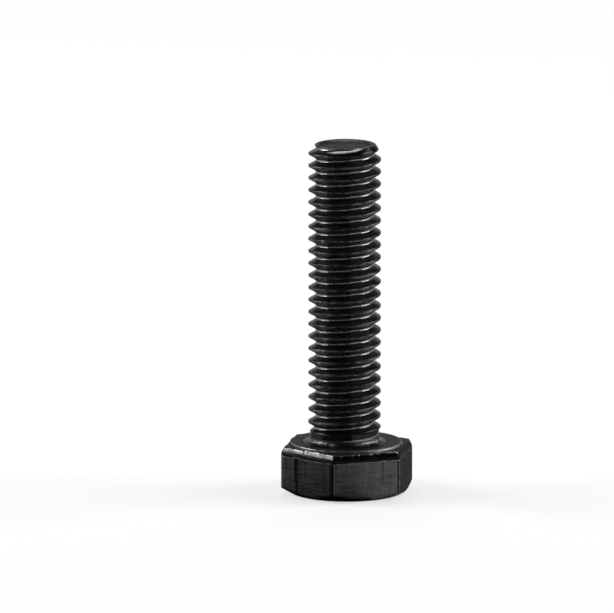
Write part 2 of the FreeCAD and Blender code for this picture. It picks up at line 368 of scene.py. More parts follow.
def flat_ring(share):
    """Down the flat, from the foot of the bevel to the arc that the cone leaves."""

    def ring(angle):
        radius = hexagon_radius(angle, FLAT_HALF, CORNER_ROUND)
        top = -WASHER_HEIGHT - BEVEL_DROP - FOOT_STEP + foot_stray(angle) * (1 - share)
        foot = -HEAD_HEIGHT + (radius - TOP_CIRCLE) * FLANK_SLOPE + EDGE_ROUND * 0.6
        return radius, top + (foot - top) * share

    return ring


print("there the bevel's foot is at height", round(bevel_ring(1.0)(0)[1], 3), "mm")

# %% The cone and the outer face
def cone_ring(share):
    """In along the cone, from the flats to the round face on top of the head."""

    def ring(angle):
        outer = hexagon_radius(angle, FLAT_HALF, CORNER_ROUND) - EDGE_ROUND * 0.6
        inner = TOP_CIRCLE + 0.04
        radius = outer + (inner - outer) * share
        return radius, -HEAD_HEIGHT + (radius - TOP_CIRCLE) * FLANK_SLOPE

    return ring


def top_ring(radius):
    """A circle on the outer face, which is level."""
    return lambda angle: (radius, -HEAD_HEIGHT)


print("the cone ends at radius", round(cone_ring(1.0)(0)[0], 3), "mm")

# %% The list of rings
# The washer face runs out level, turns over its worn edge and drops to the ledge.
WASHER_PROFILE = [(3.6, 0.0), (3.9, 0.0), (4.15, 0.0), (4.34, 0.0), (WASHER_RADIUS - 0.09, 0.0)]
WASHER_PROFILE += [(WASHER_RADIUS - 0.03, -0.018), (WASHER_RADIUS, -0.06)]
WASHER_PROFILE += [(WASHER_RADIUS + 0.01, -0.14), (WASHER_RADIUS + 0.03, -WASHER_HEIGHT + 0.02)]
CROWD_STEP = 0.12
TOP_INSETS = (0.03, 0.12, 0.5, 1.2, 2.2, 3.2, 4.0)

# Each ring has its finish, how much its columns crowd at the corners, and its shape.
RINGS = [("forged", CROWD_STEP * n, washer_ring(*place)) for n, place in enumerate(WASHER_PROFILE)]
RINGS += [("forged", 1.0, ledge_ring(share)) for share in (0.0, 0.25, 0.5, 0.75, 0.9, 1.0)]
BEVEL_SHARES = (0.0, 0.12, 0.3, 0.5, 0.7, 0.88, 1.0)
RINGS += [("torn", 1.0, bevel_ring(share)) for share in BEVEL_SHARES]
RINGS += [("flat", 1.0, flat_ring(share)) for share in (0.0, 0.04, 0.2, 0.4, 0.6, 0.8, 0.94, 1.0)]
RINGS += [("forged", 1.0, cone_ring(share)) for share in (0.0, 0.1, 0.5, 0.9, 1.0)]
RINGS += [("forged", 1.0, top_ring(TOP_CIRCLE - inset)) for inset in TOP_INSETS]
print(len(RINGS), "rings on the head")

# %% [markdown]
# ## One closed mesh
# All rows are made in order, from the middle of the tip to the middle of the head's outer face:
# the dished end, the thread, the short radius under the head, and the rings of the head. Each face
# remembers which finish it has. Three numbers on each vertex say how worn it is, how thick its black
# film is and how bright it is rubbed, because high edges lose their film first. The same numbers also
# carry painted light: painted highlights in the first and the third, and painted shade in the second.

# %% Vertices and faces with a finish
FINISHES = ("rolled", "forged", "torn", "flat")
mesh = bmesh.new()
# These layers also carry painted light: the wear and the rubbing hold painted highlights, and the thick
# film holds painted shade.
edge_wear = mesh.verts.layers.float.new("edge_wear")
thick_film = mesh.verts.layers.float.new("thick_film")
burnish = mesh.verts.layers.float.new("burnish")


def add_vertex(angle, radius, height, wear=0.0, film=0.0, rubbed=0.0, centre=(0.0, 0.0)):
    """A vertex worn to bare steel, thickly coated or rubbed bright by these shares, which also paint
    highlights and shade.
    """
    x = radius * math.cos(angle) + centre[0]
    y = radius * math.sin(angle) + centre[1]
    vertex = mesh.verts.new((x * MM, y * MM, height * MM))
    vertex[edge_wear] = wear
    vertex[thick_film] = film
    vertex[burnish] = rubbed
    return vertex


def add_face(corners, finish):
    """A face through the corners, leaving out any that were merged into one."""
    distinct = [v for n, v in enumerate(corners) if v is not corners[n - 1]]
    if len(distinct) > 2:
        face = mesh.faces.new(distinct)
        face.smooth = True
        face.material_index = FINISHES.index(finish)


print("finishes:", ", ".join(FINISHES))

# %% [markdown]
# ## Wear, painted shade and painted highlights on the thread
# The dies squeeze steel up from both sides of each crest, and the two swells meet in a fine seam
# along it. Handling then nicks the crests. The neck is darkened as painted shade, and the crests are
# darker. The last turn at the tip is darkened as painted shade, except on its front, which has a
# painted highlight. The roots are bright. How much of each there is was matched.

# %% Nicks, film, painted shade and painted highlights of the thread
SEAM_DEPTH = 0.03
NICK_DEPTH = 0.05
CREST_WAVE = 0.006
# The neck's share is painted shade. The tip's share and its angle paint a highlight on the front of the
# last turn.
NECK_SHADE = 0.85
CREST_FILM = 0.75
ROOT_RUB = 0.7
TIP_HIGHLIGHT_SHARE = 0.55
TIP_HIGHLIGHT_ANGLE = math.radians(238)


def crest_dent(angle, height, crest, across_crest):
    """How deep the crest is dented by nicks, by a slight wave and by the seam."""
    dent = max(ripple(angle, height, 0.45, 1) - 0.25, 0.0) * NICK_DEPTH * crest
    dent += CREST_WAVE * ripple(angle, height * 3, 0.8, 2) * crest
    seam = 1 - smooth(0.01, 0.035, abs(across_crest - round(across_crest)))
    return dent + SEAM_DEPTH * seam * crest * smooth(-0.35, 0.15, ripple(angle, height, 2.5, 18))


def thread_finish(angle, height, crest, above_root):
    """The shares of thick film and painted shade, and of rubbed steel and painted highlight, on the
    thread.
    """
    # The neck is darkened: painted shade in the recess under the head.
    film = NECK_SHADE * (1 - smooth(NECK_LENGTH - 0.1, NECK_LENGTH + 0.5, height))
    film = max(film, CREST_FILM * crest * smooth(-0.5, 0.2, ripple(angle, height, 1.1, 19)))
    # The last turn at the tip is darker all round as painted shade, and lighter on its front as a
    # painted highlight.
    near_tip = smooth(SHANK_LENGTH - 0.62, SHANK_LENGTH - 0.5, height)
    flank = smooth(-0.3, -0.24, above_root) * (1 - smooth(-0.06, 0.0, above_root))
    rubbed = near_tip * flank * smooth(0.2, 0.6, math.cos(angle - TIP_HIGHLIGHT_ANGLE))
    film = max(film, near_tip * (1 - rubbed))
    rolled_root = ROOT_RUB * (1 - smooth(0.04, 0.11, abs(above_root)))
    return film, max(TIP_HIGHLIGHT_SHARE * rubbed, rolled_root)


# In the neck, the film is painted shade.
print("film and rubbing in the neck:", thread_finish(0, SHANK_LOW, 0, 0.5))

# %% Vertices of the shank
def shank_column(turn):
    """The vertices of one column of the thread. Rows pressed onto an end share one vertex."""
    angle = 2 * math.pi * turn
    column = []
    last_height = None
    for height in shank_heights(turn):
        if height == last_height:
            column.append(column[-1])
            continue
        last_height = height
        radius = shank_radius(angle, height)
        crest = smooth(CREST_RADIUS - 0.1, CREST_RADIUS - 0.02, radius)
        across_crest = (height - ROOT_AT_X) / PITCH - turn - 0.5
        above_root = across_crest + 0.5 - round(across_crest + 0.5)
        dent = crest_dent(angle, height, crest, across_crest)
        film, rubbed = thread_finish(angle, height, crest, above_root)
        column.append(add_vertex(angle, radius - dent, height, crest, film, rubbed))
    return column


shank = [shank_column(column / SHANK_COLUMNS) for column in range(SHANK_COLUMNS)]
print(len(mesh.verts), "vertices on the shank")

# %% Faces of the shank
# After one turn a row has climbed one pitch, so the last column joins the first one pitch lower.
for number in range(SHANK_COLUMNS):
    here, there = shank[number], shank[(number + 1) % SHANK_COLUMNS]
    shift = 0 if number + 1 < SHANK_COLUMNS else ROWS_PER_PITCH
    for row in range(len(here) - 1):
        low, high = row + shift, row + 1 + shift
        if high < len(there):
            add_face([here[row], there[low], there[high], here[row + 1]], "rolled")
print(len(mesh.faces), "faces")

# %% [markdown]
# ## The dished end
# As the dies roll the thread, steel at the surface flows further than steel in the middle. The tip
# is left with a shallow dish inside a thin rim, and the groove breaks out through the rim's side.

# %% Rings of the tip
def tip_rings(angle):
    """Radius and height of each ring, from the top of the thread in to the middle of the dish."""
    edge = shank_radius(angle, SHANK_LENGTH) - 0.01
    inner = DISH_RADIUS + 0.05 * ripple(angle, 0, 1.3, 11, 2.2) + 0.03 * ripple(angle, 0, 0.4, 12, 2.2)
    lip = 0.02 * ripple(angle, 1, 1.0, 13, 2.2) - 0.01
    top = SHANK_LENGTH
    return [
        (edge - 0.004, top - 0.018),
        (edge - 0.035, top + lip),
        ((edge + inner) / 2, top + lip),
        (inner + 0.02, top + lip - 0.012),
        (inner - 0.04, top - 0.045),
        (inner - 0.14, top - DISH_DEPTH * 0.75),
        (inner - 0.3, top - DISH_DEPTH),
        (1.35, top - DISH_DEPTH + 0.012 * ripple(angle, 2, 0.7, 14, 1.35)),
        (0.8, top - DISH_DEPTH + 0.02 + 0.01 * ripple(angle, 3, 0.6, 15, 0.8)),
        (0.35, top - DISH_DEPTH + 0.025),
    ]


def join_shank_rings(rings, finish):
    """Faces between rings that have one vertex for each column of the shank."""
    for inner, outer in zip(rings, rings[1:]):
        for number in range(len(inner)):
            after = (number + 1) % len(inner)
            add_face([inner[number], inner[after], outer[after], outer[number]], finish)


TIP_WEAR = (0.7, 1.0, 0.7, 0.9, 0.4, 0.0, 0.0, 0.0, 0.0, 0.0)
tip = [[column[-1] for column in shank]]
tip += [[] for _ in TIP_WEAR]
for number in range(SHANK_COLUMNS):
    angle = 2 * math.pi * number / SHANK_COLUMNS
    for ring, (radius, height), wear in zip(tip[1:], tip_rings(angle), TIP_WEAR):
        ring.append(add_vertex(angle, radius, height, wear))
join_shank_rings(tip[:3], "rolled")
join_shank_rings(tip[2:], "forged")
middle = add_vertex(0, 0, SHANK_LENGTH - DISH_DEPTH + 0.03)
for number, vertex in enumerate(tip[-1]):
    add_face([vertex, tip[-1][(number + 1) % SHANK_COLUMNS], middle], "forged")
print(len(tip), "rings on the tip")

# %% [markdown]
# ## The radius under the head
# A sharp inside corner would crack, so the neck runs into the bearing face in a small radius. The
# heading die leaves little ribs in it, which catch the light. The last ring lies flat on the bearing
# face, where the rings of the head take over.

# %% Rings under the head
UNDERHEAD_STEPS = 7
RIB_HEIGHT = 0.03
INTERFACE_RADIUS = 3.35
underhead = [[column[0] for column in shank]]
for step in range(1, UNDERHEAD_STEPS + 2):
    ring = []
    for number in range(SHANK_COLUMNS):
        angle = 2 * math.pi * number / SHANK_COLUMNS
        turned = min(step / UNDERHEAD_STEPS, 1.0) * math.pi / 2
        radius = NECK_RADIUS + UNDERHEAD * (1 - math.cos(turned))
        height = UNDERHEAD * (1 - math.sin(turned))
        if step > UNDERHEAD_STEPS:
            radius = INTERFACE_RADIUS
        bend = math.sin(2 * turned)
        rib = ripple(angle, height * 0.5, 0.2, 16, 3.0)
        wear = (0.95 + 1.5 * rib) * bend
        # The film share at both ends of the radius darkens the crease under the head as painted shade.
        ring.append(add_vertex(angle, radius + RIB_HEIGHT * bend * rib, height, wear, 0.7 * (1 - bend)))
    underhead.append(ring)
join_shank_rings(underhead, "rolled")
print(len(underhead), "rings under the head")

# %% [markdown]
# ## Wear, painted shade and painted highlights on the head
# The six flats and their rims don't look alike, because each is painted for how the light falls on it.
# So each flat has its own painted shade and its own width of painted highlight on its rim, and each
# corner has its own width of painted shade before it, counted from X and matched. A painted highlight
# runs just past each corner. The cone is darkened as painted shade.

# %% Wear, painted shade and painted highlights of each ring, flat and corner
# Painted shade on each flat, counted from X.
FLAT_SHADE = (0.3, 0.1, 0.4, 0.32, 0.0, 0.45)
# The width of the painted highlight on each bevel's rim, counted from X.
RIM_HIGHLIGHT = (0.15, 0.15, 0.15, 0.45, 0.12, 0.15)
# The width in degrees of the painted shade before each corner, and its darkness.
CORNER_SHADE_WIDTH = (2.5, 2.5, 2.5, 2.5, 4.2, 1.8)
CORNER_SHADE_DARKNESS = 0.9
# The cone's film share is painted shade.
CONE_SHADE = 0.9
CONE_WEAR = 0.3
WASHER_EDGE_RINGS = range(4, 7)
WASHER_WEAR = 1.1
EDGE_WEAR = 0.8
BEVEL_START = [ring[0] for ring in RINGS].index("torn")


def ring_wear(number):
    """High edges are worn: the washer face's, the bevel's rim and foot, and the cone's outer one."""
    if number in WASHER_EDGE_RINGS:
        return WASHER_WEAR
    finish = RINGS[number][0]
    edges = number and RINGS[number - 1][0] != finish
    edges = edges or (number + 1 < len(RINGS) and RINGS[number + 1][0] != finish)
    last_of_flat = finish == "flat" and RINGS[number + 1][0] != "flat"
    return EDGE_WEAR if edges and not last_of_flat else 0.0


def flat_finish(angle, wear):
    """Wear and painted light of a flat: a painted highlight just past each corner, painted shade before
    it, and the flat's own painted shade.
    """
    past = past_corner(angle)
    highlight_past_corner = smooth(-0.3, 0.2, past) - smooth(0.7, 1.4, past)
    width = CORNER_SHADE_WIDTH[round(math.degrees(angle) / 60) % 6]
    shade_before_corner = smooth(-width - 0.4, -width + 0.4, past) - smooth(-0.2, 0.4, past)
    return max(wear, highlight_past_corner), max(CORNER_SHADE_DARKNESS * shade_before_corner, FLAT_SHADE[side_of(angle)]), 0.0


def bevel_finish(angle, wear, share):
    """The bevel's rim has painted highlights in streaks, and the rest is darkened as painted shade."""
    # Below the rim the film is painted shade, and the rubbed streaks on the rim are painted highlights.
    film = smooth(0, RIM_HIGHLIGHT[side_of(angle)], share)
    streaks = ripple(angle, 4 * share, 1.2, 20)
    return wear, film, (1 - film) * max(0.4 + streaks, 0.0)


def outer_finish(radius, wear):
    """The cone has a little wear and is darkened as painted shade, and the round face inside it has
    neither.
    """
    return (CONE_WEAR * wear, CONE_SHADE, 0.0) if radius > TOP_CIRCLE else (0.0, 0.0, 0.0)


print("worn rings:", [number for number in range(len(RINGS)) if ring_wear(number)])

# %% Rings of the head
head = []
for number, (finish, crowd, ring_at) in enumerate(RINGS):
    shift = OFF_CENTRE * crowd
    centre = (shift * math.cos(OFF_DIRECTION), shift * math.sin(OFF_DIRECTION))
    ring = []
    for column in range(HEAD_COLUMNS):
        angle = head_angle(column, crowd)
        radius, height = ring_at(angle)
        shares = (ring_wear(number), 0.0, 0.0)
        if finish == "flat":
            shares = flat_finish(angle, shares[0])
        elif finish == "torn":
            shares = bevel_finish(angle, shares[0], BEVEL_SHARES[number - BEVEL_START])
        elif number > BEVEL_START:
            shares = outer_finish(radius, shares[0])
        ring.append(add_vertex(angle, radius, height, *shares, centre))
    head.append(ring)
print(len(head), "rings of", HEAD_COLUMNS)

# %% Faces of the head
outer = underhead[-1]
for number in range(SHANK_COLUMNS):
    after = (number + 1) % SHANK_COLUMNS
    fine = [head[0][(3 * number + step) % HEAD_COLUMNS] for step in (3, 2, 1, 0)]
    add_face([outer[number], outer[after], *fine], "forged")

for number, (inner, ring) in enumerate(zip(head, head[1:])):
    finish = RINGS[number + 1][0]
    for column in range(HEAD_COLUMNS):
        after = (column + 1) % HEAD_COLUMNS
        add_face([inner[column], inner[after], ring[after], ring[column]], finish)
middle = add_vertex(0, 0, -HEAD_HEIGHT, centre=centre)
for column, vertex in enumerate(head[-1]):
    add_face([vertex, head[-1][(column + 1) % HEAD_COLUMNS], middle], "forged")

# %% [markdown]
# ## The finished object
# The mesh becomes one object that rides on the only body and takes the place of the plain model. A
# closed mesh has exactly two faces at each edge, so the open edges are counted.

# %% The finished object
bmesh.ops.recalc_face_normals(mesh, faces=mesh.faces)
open_edges = sum(1 for edge in mesh.edges if len(edge.link_faces) != 2)
bolt_mesh = bpy.data.meshes.new("hex_bolt_steel")
mesh.to_mesh(bolt_mesh)
mesh.free()
bolt = bpy.data.objects.new("hex_bolt_steel", bolt_mesh)
bpy.context.collection.objects.link(bolt)
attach(bolt, "root")
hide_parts("hex_bolt")
print(len(bolt_mesh.polygons), "faces,", open_edges, "open edges")

# %% [markdown]
# ## The blackened steel
# Black oxide is a film of magnetite, about a thousandth of a millimetre thick, grown from the steel
# itself. It is drawn as a metal with a very dark colour, which keeps the crisp highlights of steel,
# and a small share is left non-metal, which lightens it at a glancing view. A thin coat stands for the
# oil that the bolt is dipped in. The specular tint is the metal's colour at a glancing view. Where an
# edge is rubbed, the film thins and grey steel shows. The thick film's colour also paints shade, and
# the colours of bare and rubbed steel also paint highlights. All these amounts were matched.

# %% Colours
def linear(hex_colour):
    """An sRGB hex colour as linear red, green, blue and an alpha of 1."""
    parts = [int(hex_colour[n : n + 2], 16) / 255 for n in (1, 3, 5)]
    curved = [c / 12.92 if c <= 0.04045 else ((c + 0.055) / 1.055) ** 2.4 for c in parts]
    return curved + [1.0]


OXIDE = "#39393b"
OXIDE_THIN = "#58585b"
# Also the colour of painted shade.
OXIDE_THICK_AND_SHADE = "#161617"
# Also the colour of painted highlights on the tip's front and on the bevel's rims.
BURNISHED_AND_HIGHLIGHT = "#949497"
# Also the colour of the painted highlight just past each corner.
WORN_STEEL_AND_HIGHLIGHT = "#8f8f92"
GLANCING_SMOOTH = "#b4b4b4"
GLANCING_FORGED = "#747474"
GLANCING_FLAT = "#595959"
GLANCING_TORN = "#3c3c3c"
OXIDE_METALLIC = 0.92
OIL_IOR = 1.47
OIL_ROUGHNESS = 0.25
BURNISH_GLOSS = 0.15
print("the film reflects", [round(c, 3) for c in linear(OXIDE)[:3]])

# %% [markdown]
# ## Nodes
# A material is a tree of nodes. One function adds any node with its settings, the values of its
# sockets and its links. A pattern of marks always needs a place, a scale and noise, so these nodes
# are made together, from a size in millimetres.

# %% One function for every node
def add_node(tree, kind, values=None, links=None, **settings):
    """Add a node with its settings, its sockets' values and its links."""
    made = tree.nodes.new(kind)
    for name, value in settings.items():
        setattr(made, name, value)
    for socket, value in (values or {}).items():
        made.inputs[socket].default_value = value
    for socket, source in (links or {}).items():
        tree.links.new(source, made.inputs[socket])
    return made


# The sockets of a mix of two colours.
MIX_SHARE, MIX_FROM, MIX_TO, MIX_RESULT = 0, 6, 7, 2

# %% Marks at a real size
def grain(tree, size_mm, detail=3.0, roughness=0.55):
    """Noise from 0 to 1 whose marks are about size_mm long along X, Y and Z.

    A single size gives rings round the bolt's axis that are about that wide.
    """
    place = add_node(tree, "ShaderNodeTexCoord").outputs["Object"]
    values = {"Scale": 1.0, "Detail": detail, "Roughness": roughness}
    if isinstance(size_mm, float):
        level = add_node(
            tree, "ShaderNodeVectorMath", {1: (1, 1, 0)}, {0: place}, operation="MULTIPLY"
        ).outputs[0]
        out = add_node(tree, "ShaderNodeVectorMath", links={0: level}, operation="LENGTH")
        values["Scale"] = 1 / (size_mm * MM)
        links = {"W": out.outputs["Value"]}
        return add_node(tree, "ShaderNodeTexNoise", values, links, noise_dimensions="1D").outputs["Fac"]
    scale = [1 / (size * MM) for size in size_mm]
    scaled = add_node(tree, "ShaderNodeMapping", {"Scale": scale}, {"Vector": place})
    links = {"Vector": scaled.outputs["Vector"]}
    return add_node(tree, "ShaderNodeTexNoise", values, links).outputs["Fac"]


# %% [markdown]
# ## Layers of one surface
# The tool's marks come first, because the colour, the shine and the relief all follow them. Deep
# scores are lines that a chipped trimming die leaves along the flats. Their real width is not known.
# They are drawn from noise with a size of 0.45 mm, so that they show.

# %% Marks of the tool
MARK_RANGE = (0.78, 1.22)
SCORE_SIZE = (0.45, 0.45, 14.0)
SCORE_RANGE = (0.35, 0.4)


def tool_marks(tree, mark_sizes, scores):
    """Two grains added together, less the deep scores."""
    both = add_node(
        tree,
        "ShaderNodeMath",
        links={0: grain(tree, mark_sizes[0]), 1: grain(tree, mark_sizes[1])},
        operation="ADD",
    ).outputs[0]
    marks = add_node(
        tree,
        "ShaderNodeMapRange",
        {"From Min": MARK_RANGE[0], "From Max": MARK_RANGE[1]},
        {"Value": both},
    ).outputs["Result"]
    if not scores:
        return marks
    lines = add_node(
        tree,
        "ShaderNodeMapRange",
        {"From Min": SCORE_RANGE[0], "From Max": SCORE_RANGE[1], "To Min": scores, "To Max": 0.0},
        {"Value": grain(tree, SCORE_SIZE, 2.0)},
    ).outputs["Result"]
    return add_node(
        tree, "ShaderNodeMath", links={0: marks, 1: lines}, operation="SUBTRACT"
    ).outputs[0]


# %% Colour of the film
# Flecks of bare steel on a worn edge are drawn about half a millimetre long, like small nicks.
FLECK_SIZE = (0.5, 0.5, 0.2)


def film_colour(tree, marks, worn, rubbed, wear_limits):
    """Thin film on the marks, then thick film with painted shade, then bare steel and rubbed steel with
    painted highlights over it.
    """
    broken = add_node(
        tree,
        "ShaderNodeMath",
        links={0: worn, 1: grain(tree, FLECK_SIZE, 4.0, 0.65)},
        operation="MULTIPLY",
    ).outputs[0]
    bare = add_node(
        tree,
        "ShaderNodeMapRange",
        {"From Min": wear_limits[0], "From Max": wear_limits[1]},
        {"Value": broken},
    ).outputs["Result"]
    thick = add_node(tree, "ShaderNodeAttribute", attribute_name="thick_film").outputs["Fac"]
    colour = add_node(
        tree,
        "ShaderNodeMix",
        {MIX_FROM: linear(OXIDE), MIX_TO: linear(OXIDE_THIN)},
        {MIX_SHARE: marks},
        data_type="RGBA",
        clamp_factor=False,
    ).outputs[MIX_RESULT]
    # The thick film's layer also paints shade, and the bare and rubbed layers also paint highlights.
    for share, layer in ((thick, OXIDE_THICK_AND_SHADE), (bare, WORN_STEEL_AND_HIGHLIGHT), (rubbed, BURNISHED_AND_HIGHLIGHT)):
        colour = add_node(
            tree,
            "ShaderNodeMix",
            {MIX_TO: linear(layer)},
            {MIX_SHARE: share, MIX_FROM: colour},
            data_type="RGBA",
        ).outputs[MIX_RESULT]
    return colour


# %% Shine of the film
# The film is cloudy. Its patches are drawn about 1.6 mm across.
PATCH_SIZE = (1.6, 1.6, 1.6)
PATCH_RANGE = (0.35, 0.65)


def film_roughness(tree, marks, worn, rubbed, gloss, edge_rough):
    """Rougher where patches and marks meet and on worn edges, and smoother where it is rubbed."""
    patches = add_node(
        tree,
        "ShaderNodeMapRange",
        {"From Min": PATCH_RANGE[0], "From Max": PATCH_RANGE[1]},
        {"Value": grain(tree, PATCH_SIZE)},
    ).outputs["Result"]
    cloudy = add_node(tree, "ShaderNodeMath", links={0: marks, 1: patches}, operation="MULTIPLY")
    rough = add_node(
        tree,
        "ShaderNodeMapRange",
        {"From Max": 0.6, "To Min": gloss[0], "To Max": gloss[1]},
        {"Value": cloudy.outputs[0]},
    ).outputs["Result"]
    for share, change in ((worn, edge_rough), (rubbed, -BURNISH_GLOSS)):
        rough = add_node(
            tree, "ShaderNodeMath", {1: change}, {0: share, 2: rough}, operation="MULTIPLY_ADD"
        ).outputs[0]
    return rough


# %% The whole material
def blackened_steel(
    name, mark_sizes, mark_depth_mm, gloss, wear_limits, tint, oil, edge_rough=0.0, scores=0.0
):
    """Oiled black oxide over steel with the marks of how the surface was made.

    mark_sizes are two grains, each a size in millimetres along X, Y and Z. gloss is the lowest and
    highest roughness. wear_limits is how much edge wear starts and ends the change to bare steel.
    tint is the metal's colour at a glancing view, and oil is how much of the face is oily, which
    shows most at a glancing view too. edge_rough is how much rougher the edges are. scores is the
    strength of the deep upright lines that a chipped die leaves.
    """
    material = bpy.data.materials.new(name)
    material.use_nodes = True
    tree = material.node_tree
    tree.nodes.clear()
    marks = tool_marks(tree, mark_sizes, scores)
    worn = add_node(tree, "ShaderNodeAttribute", attribute_name="edge_wear").outputs["Fac"]
    rubbed = add_node(tree, "ShaderNodeAttribute", attribute_name="burnish").outputs["Fac"]
    depth = {"Strength": 1.0, "Distance": mark_depth_mm * MM}
    relief = add_node(tree, "ShaderNodeBump", depth, {"Height": marks})
    values = {"Metallic": OXIDE_METALLIC, "Specular Tint": linear(tint)}
    values |= {"Coat Weight": oil, "Coat Roughness": OIL_ROUGHNESS, "Coat IOR": OIL_IOR}
    links = {"Base Color": film_colour(tree, marks, worn, rubbed, wear_limits)}
    links["Roughness"] = film_roughness(tree, marks, worn, rubbed, gloss, edge_rough)
    links["Normal"] = relief.outputs["Normal"]
    steel = add_node(tree, "ShaderNodeBsdfPrincipled", values, links)
    add_node(tree, "ShaderNodeOutputMaterial", links={"Surface": steel.outputs["BSDF"]})
    print(name, "has", len(tree.nodes), "nodes, and its first marks are", mark_sizes[0], "mm")
    return material


# %% [markdown]
# ## Four finishes, one for each tool
# The dies roll the thread, so its marks run round the shank. The heading die presses the faces under
# and on the head, which are left mottled. The trimming die shears the flats, so they have fine
# upright lines, crossed by the ripples of the blank, and it tears the bevel at their rim. The amount
# of oil on each was matched, most on the mottled faces and least on the flats. The real marks'
# spacing was not measured. Where one is given below, it is an estimate for such a tool.

# %% Rolled thread
# Rolling polishes steel, so the roots and flanks show sharp lights. Rolling lines are estimated to be
# 0.02 mm apart, which is too fine to show, so they are drawn 0.10 mm apart.
MATERIALS = {}
MATERIALS["rolled"] = blackened_steel(
    "black_oxide_rolled",
    mark_sizes=((2.5, 2.5, 0.10), (0.8, 0.8, 0.25)),
    mark_depth_mm=0.006,
    gloss=(0.2, 0.34),
    wear_limits=(0.5, 0.9),
    tint=GLANCING_SMOOTH,
    oil=0.04,
    edge_rough=0.14,
)

# %% Forged faces
# Pressed against a turned die, they are satin and mottled, with faint rings about the axis. The rings
# are estimated to be 0.05 mm wide, which is too fine to show, so they are drawn 0.11 mm wide.
MATERIALS["forged"] = blackened_steel(
    "black_oxide_forged",
    mark_sizes=(0.11, (0.25, 0.25, 0.25)),
    mark_depth_mm=0.008,
    gloss=(0.34, 0.5),
    wear_limits=(0.32, 0.6),
    tint=GLANCING_FORGED,
    oil=0.06,
)

# %% Torn bevel
# Torn steel is pitted and its pits hold the film. Its deep black is painted shade and the sparks on its
# rim are painted highlights, both given on the vertices. The tears lie along the edge, and are drawn
# about 0.7 mm long and 0.10 mm high.
MATERIALS["torn"] = blackened_steel(
    "black_oxide_torn",
    mark_sizes=((0.7, 0.7, 0.10), (0.25, 0.25, 0.07)),
    mark_depth_mm=0.014,
    gloss=(0.14, 0.24),
    wear_limits=(0.3, 0.55),
    tint=GLANCING_TORN,
    oil=0.03,
)

# %% Trimmed flats
# Sheared steel is satin, and its crossed lines make it look like dark cloth. The shearing lines are
# estimated to be 0.03 mm apart, which is too fine to show, so they are drawn 0.13 mm apart.
MATERIALS["flat"] = blackened_steel(
    "black_oxide_trimmed",
    mark_sizes=((0.13, 0.13, 4.0), (1.5, 1.5, 0.16)),
    mark_depth_mm=0.008,
    gloss=(0.34, 0.46),
    wear_limits=(0.3, 0.55),
    tint=GLANCING_FLAT,
    oil=0.012,
    scores=1.2,
)
for finish in FINISHES:
    bolt_mesh.materials.append(MATERIALS[finish])

# %% [markdown]
# ## The camera
# The bolt stands on its head and is seen from a little above through a long lens, so its sides stay
# upright. Directions round the bolt are angles from X. The camera looks at one of the head's corners
# a little from its right.

# %% Camera
VIEW_ANGLE = math.radians(250.9)
VIEW_RISE = math.radians(10.7)
VIEW_DISTANCE = 1.2
SENSOR_WIDTH = 36.0
SEEN_WIDTH = 0.04965
AIM_HEIGHT = 11.05 * MM
AIM_ASIDE = 3.04 * MM


def direction(turn_degrees, rise_degrees):
    """A direction from the bolt, turned to the right of the camera and raised above the floor."""
    turn = VIEW_ANGLE + math.radians(turn_degrees)
    rise = math.radians(rise_degrees)
    return Vector((math.cos(turn) * math.cos(rise), math.sin(turn) * math.cos(rise), math.sin(rise)))


def aimed_at(thing, place, target):
    """Put a camera or a lamp at a place, pointing at the target."""
    thing.location = place
    thing.rotation_euler = (place - target).to_track_quat("Z", "Y").to_euler()


aim = Vector((0, 0, AIM_HEIGHT)) - direction(90, 0) * AIM_ASIDE
camera = bpy.data.objects.new("camera", bpy.data.cameras.new("camera"))
camera.data.sensor_width = SENSOR_WIDTH
camera.data.lens = SENSOR_WIDTH * VIEW_DISTANCE / SEEN_WIDTH
camera.data.clip_start = 0.01
camera.data.clip_end = 20
aimed_at(camera, aim + direction(0, math.degrees(VIEW_RISE)) * VIEW_DISTANCE, aim)
bpy.context.collection.objects.link(camera)
bpy.context.scene.camera = camera
print("lens", round(camera.data.lens), "mm, from", VIEW_DISTANCE, "m")

# %% [markdown]
# ## The floor
# The floor is white paper that the bolt throws its shadow on. For the camera, and for whatever is
# mirrored, a share of it glows at a strength of 1, which is white. So it looks white without more
# light on the steel, and dark steel mirrors the same white floor that the camera sees.

# %% Floor
FLOOR_SIZE = 6.0
FLOOR_LEVEL = LOW[2] - 0.005 * MM
floor_mesh = bpy.data.meshes.new("floor")
half = FLOOR_SIZE / 2
corners = [(x * half, y * half, FLOOR_LEVEL) for x, y in ((-1, -1), (1, -1), (1, 1), (-1, 1))]
floor_mesh.from_pydata(corners, [], [(0, 1, 2, 3)])
floor = bpy.data.objects.new("floor", floor_mesh)
bpy.context.collection.objects.link(floor)

GLOW_SHARE = 0.62
pale = bpy.data.materials.new("pale_paper")
pale.use_nodes = True
tree = pale.node_tree
tree.nodes.clear()
ray = add_node(tree, "ShaderNodeLightPath")
matt = add_node(tree, "ShaderNodeBsdfDiffuse", {"Color": linear("#fcfcfc")})
bright = add_node(tree, "ShaderNodeEmission", {"Color": linear("#ffffff"), "Strength": 1.0})
seen = ray.outputs["Is Camera Ray"]
for kind in ("Is Glossy Ray", "Is Transmission Ray"):
    seen = add_node(
        tree, "ShaderNodeMath", links={0: seen, 1: ray.outputs[kind]}, operation="MAXIMUM"
    ).outputs[0]
share = add_node(tree, "ShaderNodeMath", {1: GLOW_SHARE}, {0: seen}, operation="MULTIPLY")
paper = add_node(
    tree,
    "ShaderNodeMixShader",
    links={0: share.outputs[0], 1: matt.outputs["BSDF"], 2: bright.outputs["Emission"]},
)
add_node(tree, "ShaderNodeOutputMaterial", links={"Surface": paper.outputs["Shader"]})
floor_mesh.materials.append(pale)
print(f"floor at {FLOOR_LEVEL / MM:.3f} mm, glowing share {GLOW_SHARE}")

